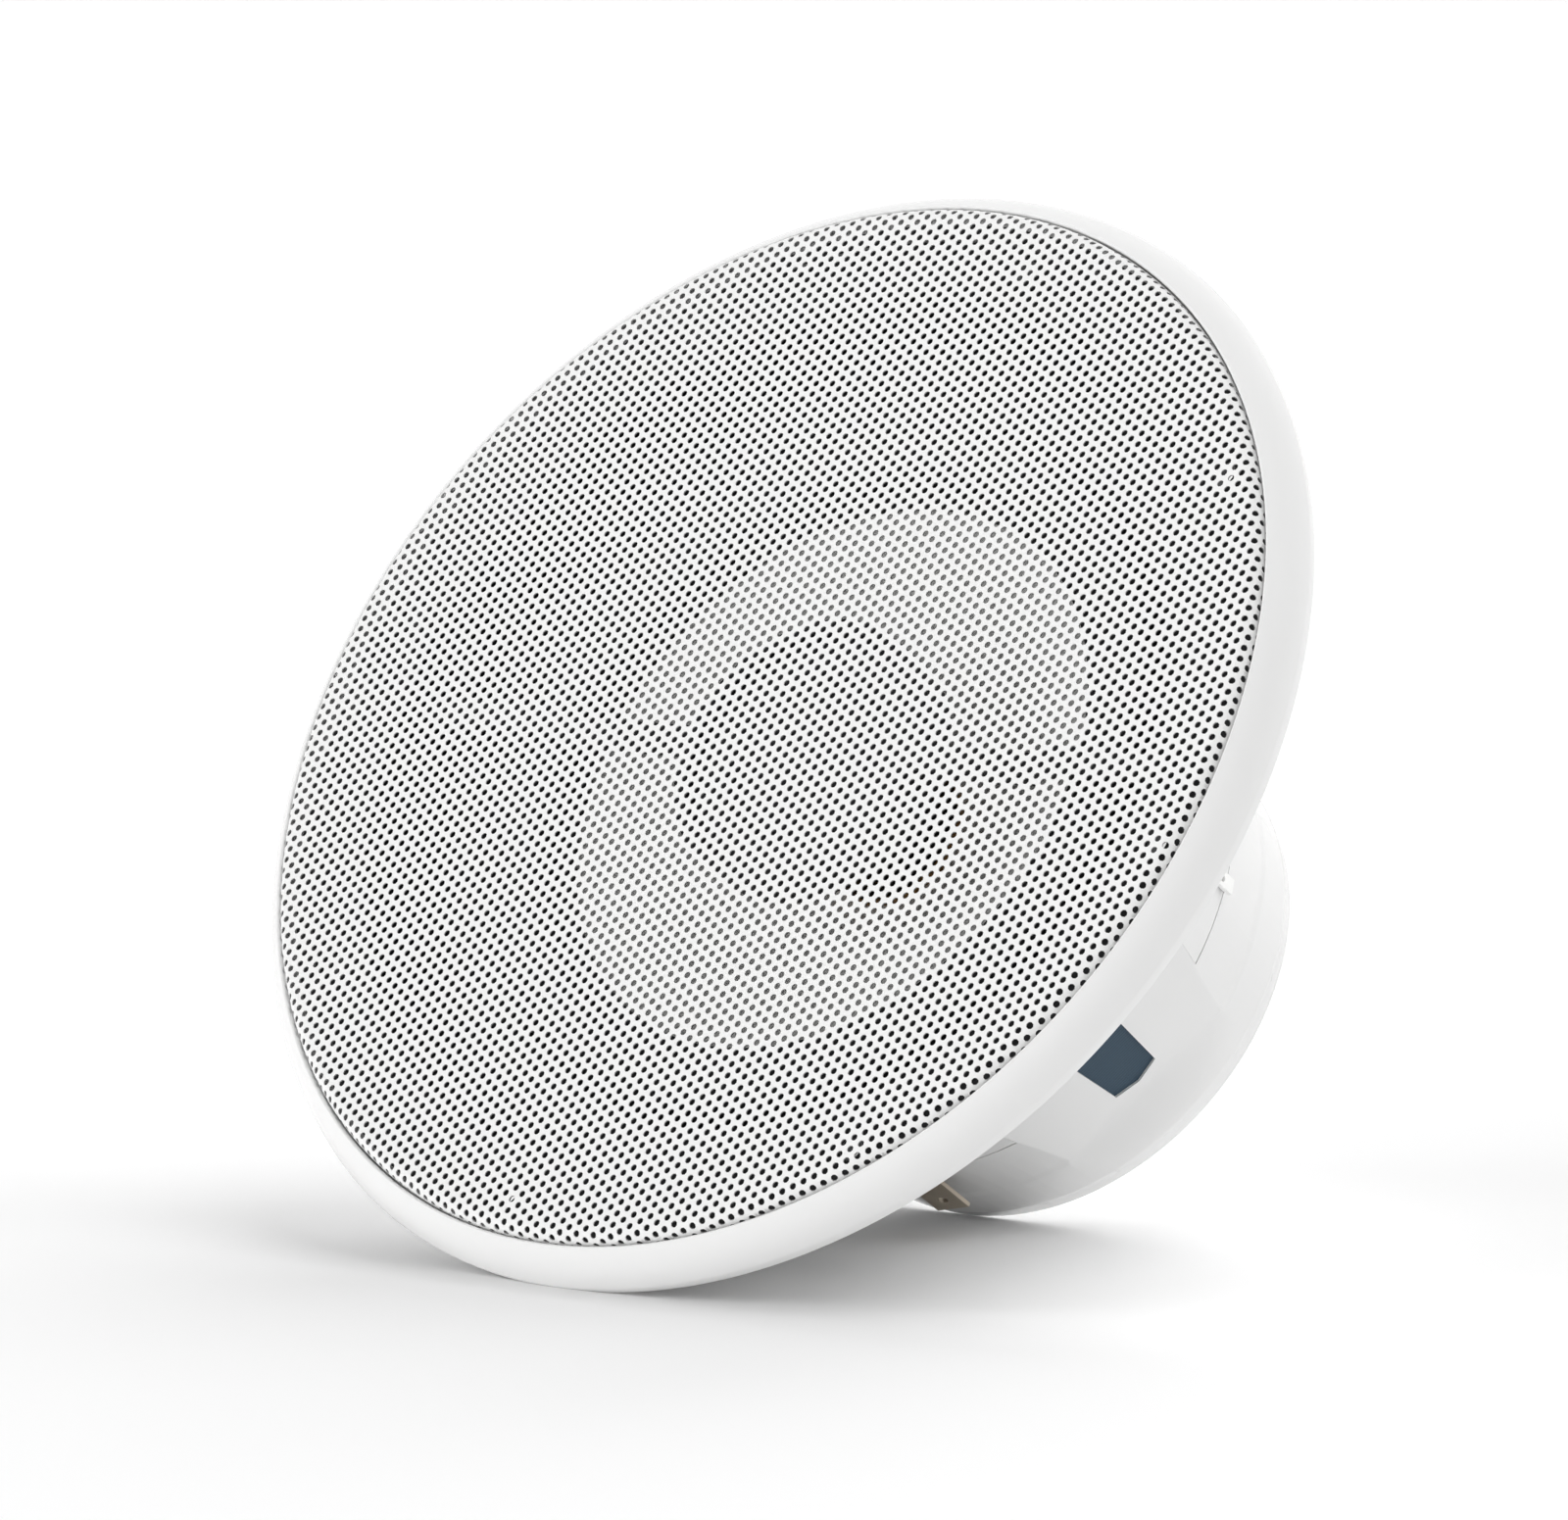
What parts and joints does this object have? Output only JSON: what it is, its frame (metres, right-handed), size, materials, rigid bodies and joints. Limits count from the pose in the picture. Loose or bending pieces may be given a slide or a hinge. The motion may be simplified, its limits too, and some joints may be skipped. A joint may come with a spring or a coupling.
{
  "type": "marine coaxial speaker",
  "caption": "Round flush-mount marine coaxial speaker: perforated dome grille in a clip-on ring, moulded basket with a sprung cone, tweeter on a post and a closed motor cover.",
  "frame": {"origin": "on the speaker axis, in the plane of the flange's rear face, which lies on the panel", "axes": "+Z along the speaker axis towards the listener, -Y through the middle of the motor cover's flat between the two terminals, +X to the right of that flat"},
  "size_m": [0.2008, 0.2008, 0.095],
  "materials": {
    "white_plastic": "glossy white, injection moulded",
    "white_mesh": "white powder coat on perforated steel",
    "white_cone": "satin white polypropylene",
    "black_rubber": "matt black rubber",
    "grey_foam": "closed-cell sealing foam",
    "amber_film": "amber film",
    "copper_wire": "lacquered copper wire",
    "tan_cloth": "resin-dipped cloth",
    "plated_steel": "zinc plated",
    "slate_magnet": "slate-blue coated ferrite",
    "slate_screen": "slate-blue synthetic dust screen",
    "neodymium": "nickel plated",
    "tinned_brass": "tinned",
    "dark_plastic": "satin black",
    "dark_silk": "coated silk",
    "blue_sleeve": "shrink sleeve"
  },
  "bodies": {
    "frame_body": {"grille_ring": "white_plastic", "grille_mesh": "white_mesh", "basket": "white_plastic", "mounting_seal": "grey_foam", "front_gasket": "black_rubber", "surround": "black_rubber", "spider": "tan_cloth", "top_plate": "plated_steel", "magnet": "slate_magnet", "pole_yoke": "plated_steel", "motor_screws": "plated_steel", "motor_cover": "white_plastic", "vent_screens": "slate_screen", "terminal_positive": "tinned_brass", "terminal_negative": "tinned_brass", "tweeter_post": "dark_plastic", "tweeter_post_screw": "plated_steel", "crossover_capacitor": "blue_sleeve", "tweeter_housing": "dark_plastic", "tweeter_bridge": "dark_plastic", "tweeter_pot": "plated_steel", "tweeter_magnet": "neodymium", "tweeter_pole_disc": "plated_steel", "tweeter_dome": "dark_silk", "tweeter_faceplate": "dark_plastic"},
    "cone_body": {"cone": "white_cone", "coil_former": "amber_film", "voice_coil": "copper_wire"}
  },
  "joints": [
    {"name": "cone_stroke", "type": "slide", "parent": "frame_body", "child": "cone_body", "axis": [0, 0, 1], "range_m": [-0.004, 0.004], "stiffness_N_per_m": 1300, "deforming": ["surround", "spider"]}
  ]
}
